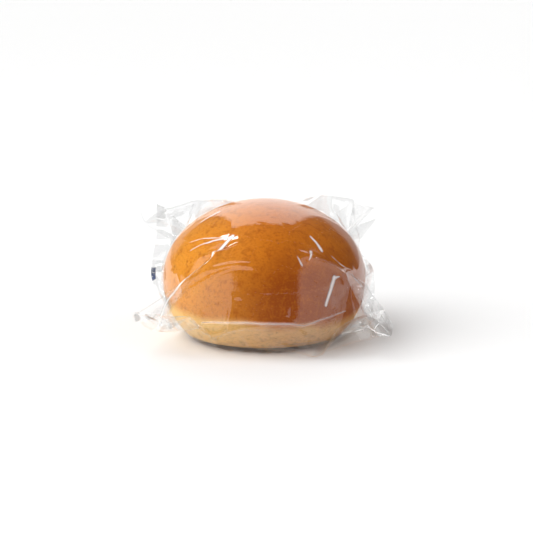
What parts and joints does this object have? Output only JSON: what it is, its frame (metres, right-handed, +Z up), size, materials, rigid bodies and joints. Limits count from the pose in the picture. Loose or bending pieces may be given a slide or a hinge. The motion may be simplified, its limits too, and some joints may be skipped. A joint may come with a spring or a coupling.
{
  "type": "wrapped bread roll",
  "caption": "Round glossy bread roll in a clear film pouch, with flat end seals whose corners stand out as ears and a fin seal folded flat underneath.",
  "frame": {"origin": "middle of the wrapped roll's bounding box, on the surface that it rests on", "axes": "+Z up, +X along the pouch from one end seal to the other, +Y towards the back, where the seals stand higher"},
  "size_m": [0.132, 0.128, 0.0685],
  "materials": {
    "crust": "satin",
    "clear_film": "gloss"
  },
  "bodies": {
    "root": {"bread_roll": "crust", "film_wrapper": "clear_film"}
  },
  "joints": []
}
